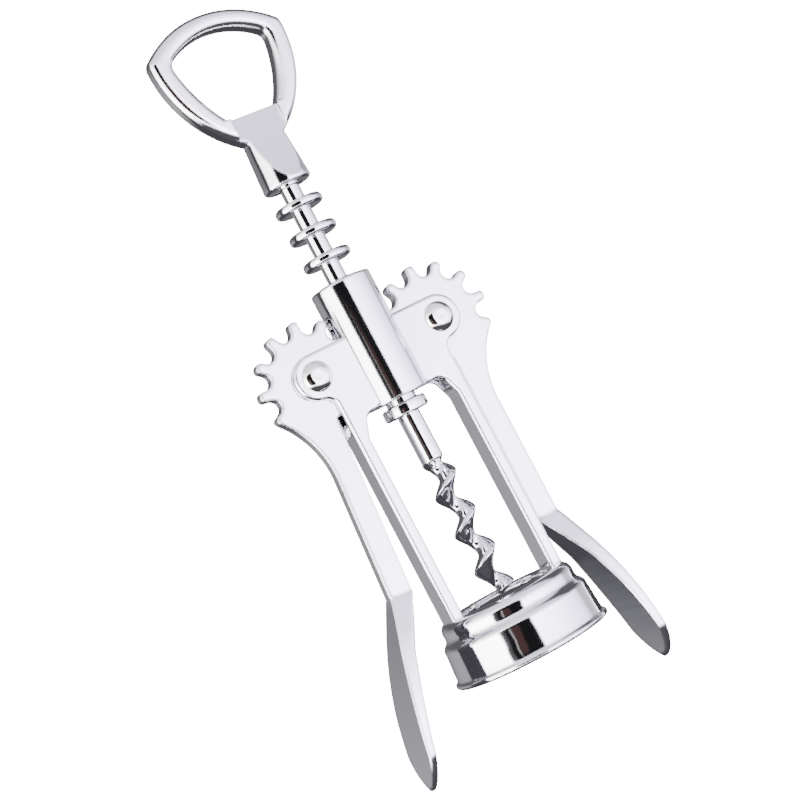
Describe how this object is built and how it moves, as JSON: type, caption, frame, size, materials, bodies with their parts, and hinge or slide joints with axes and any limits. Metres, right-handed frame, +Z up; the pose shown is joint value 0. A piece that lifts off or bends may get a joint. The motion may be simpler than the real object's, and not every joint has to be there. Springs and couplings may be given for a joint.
{
  "type": "lever corkscrew",
  "caption": "Chrome wing corkscrew: a bell sits on the bottle, a worm pulls the cork up as two geared levers are pushed down, and the top loop opens crown caps.",
  "frame": {"origin": "on the worm's axis, at the ledge inside the bell that stops the bottle's mouth", "axes": "+Z up the worm's axis to the handle; the levers swing in the XZ plane; the front faces -Y"},
  "size_m": [0.0701, 0.0404, 0.1894],
  "materials": {
    "cast_chrome": "polished",
    "steel_chrome": "polished",
    "rivet_steel": "polished"
  },
  "bodies": {
    "frame": {"frame_casting": "cast_chrome", "left_rivet": "rivet_steel", "right_rivet": "rivet_steel"},
    "washer": {"stop_washer": "steel_chrome"},
    "spindle": {"rack_spindle": "steel_chrome", "opener_handle": "cast_chrome", "worm": "steel_chrome"},
    "left_wing": {"left_lever": "cast_chrome"},
    "right_wing": {"right_lever": "cast_chrome"}
  },
  "joints": [
    {"name": "rack_slide", "type": "slide", "parent": "frame", "child": "washer", "axis": [0, 0, 1], "range_m": [-0.026, 0]},
    {"name": "handle_turn", "type": "hinge", "parent": "washer", "child": "spindle", "pos_m": [0, 0, 0], "axis": [0, 0, 1], "continuous": true},
    {"name": "left_pivot", "type": "hinge", "parent": "frame", "child": "left_wing", "pos_m": [-0.0173, 0, 0.0682], "axis": [0, 1, 0], "range_deg": [0, 108.8]},
    {"name": "right_pivot", "type": "hinge", "parent": "frame", "child": "right_wing", "pos_m": [0.0173, 0, 0.0682], "axis": [0, -1, 0], "range_deg": [0, 108.8]}
  ],
  "couplings": [
    {"joint": "left_pivot", "follows": "rack_slide", "rad_per_m": -72.722},
    {"joint": "right_pivot", "follows": "rack_slide", "rad_per_m": -72.722}
  ]
}
